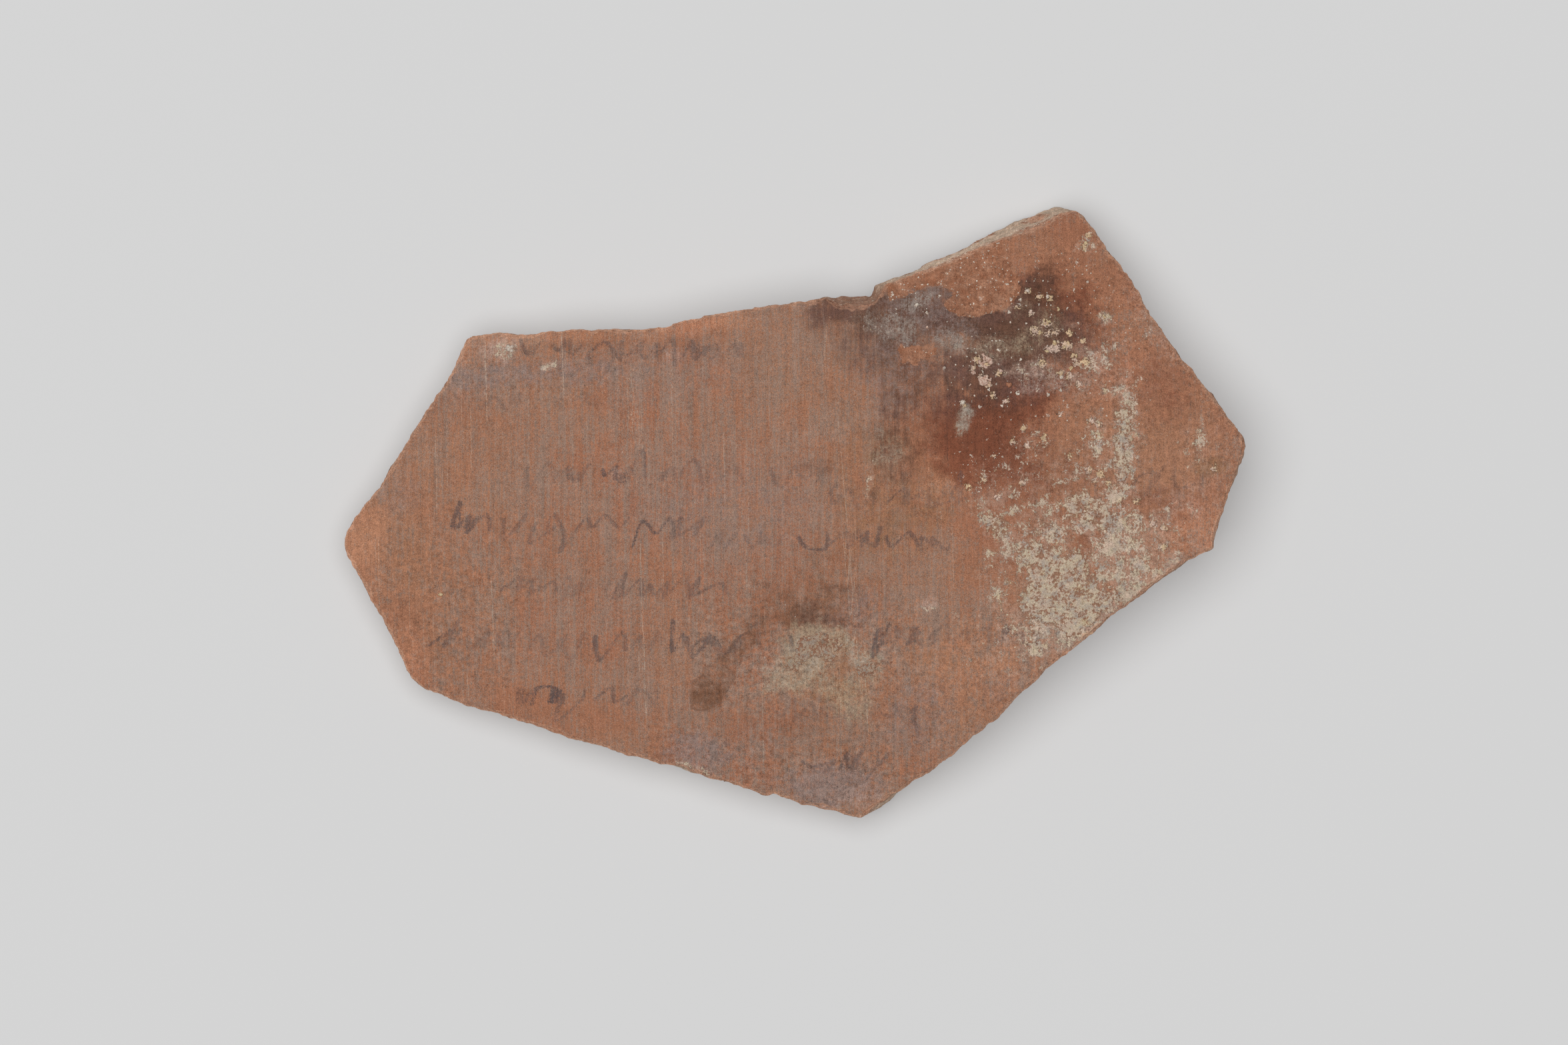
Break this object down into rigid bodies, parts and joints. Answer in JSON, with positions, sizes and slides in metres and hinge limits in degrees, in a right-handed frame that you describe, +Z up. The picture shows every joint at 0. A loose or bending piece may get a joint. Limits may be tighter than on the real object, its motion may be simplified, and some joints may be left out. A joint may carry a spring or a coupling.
{
  "type": "ostracon",
  "caption": "Broken piece of curved jar wall, with faded pen strokes on its outer face and lime from burial stuck to it.",
  "frame": {"origin": "below the middle of the whole object's box, on the level surface that it lies on", "axes": "+X along the jar's axis, which is the fragment's length and the picture's right; +Y across it, the picture's up; +Z up, out of the written outer face"},
  "size_m": [0.14, 0.0958, 0.0185],
  "materials": {
    "fired_clay": "unglazed, wheel-smoothed, worn",
    "lime_crust": "porous crust, matt",
    "lime_nodule": "grainy, matt"
  },
  "bodies": {
    "root": {"sherd": "fired_clay", "lime_crust_main": "lime_crust", "lime_crust_upper": "lime_crust", "lime_crust_column": "lime_crust", "lime_crust_left": "lime_crust", "lime_crust_middle": "lime_crust", "lime_crust_lower": "lime_crust", "lime_crust_corner": "lime_crust", "lime_nodule_01": "lime_nodule", "lime_nodule_02": "lime_nodule", "lime_nodule_03": "lime_nodule", "lime_nodule_04": "lime_nodule", "lime_nodule_05": "lime_nodule", "lime_nodule_06": "lime_nodule", "lime_nodule_07": "lime_nodule", "lime_nodule_08": "lime_nodule", "lime_nodule_09": "lime_nodule", "lime_nodule_10": "lime_nodule", "lime_nodule_11": "lime_nodule", "lime_nodule_12": "lime_nodule", "lime_nodule_13": "lime_nodule", "lime_nodule_14": "lime_nodule", "lime_nodule_15": "lime_nodule", "lime_nodule_16": "lime_nodule", "lime_nodule_17": "lime_nodule", "lime_nodule_18": "lime_nodule", "lime_nodule_19": "lime_nodule", "lime_nodule_20": "lime_nodule", "lime_nodule_21": "lime_nodule", "lime_nodule_22": "lime_nodule", "lime_nodule_23": "lime_nodule", "lime_nodule_24": "lime_nodule", "lime_nodule_25": "lime_nodule", "lime_nodule_26": "lime_nodule", "lime_nodule_27": "lime_nodule", "lime_nodule_28": "lime_nodule"}
  },
  "joints": []
}
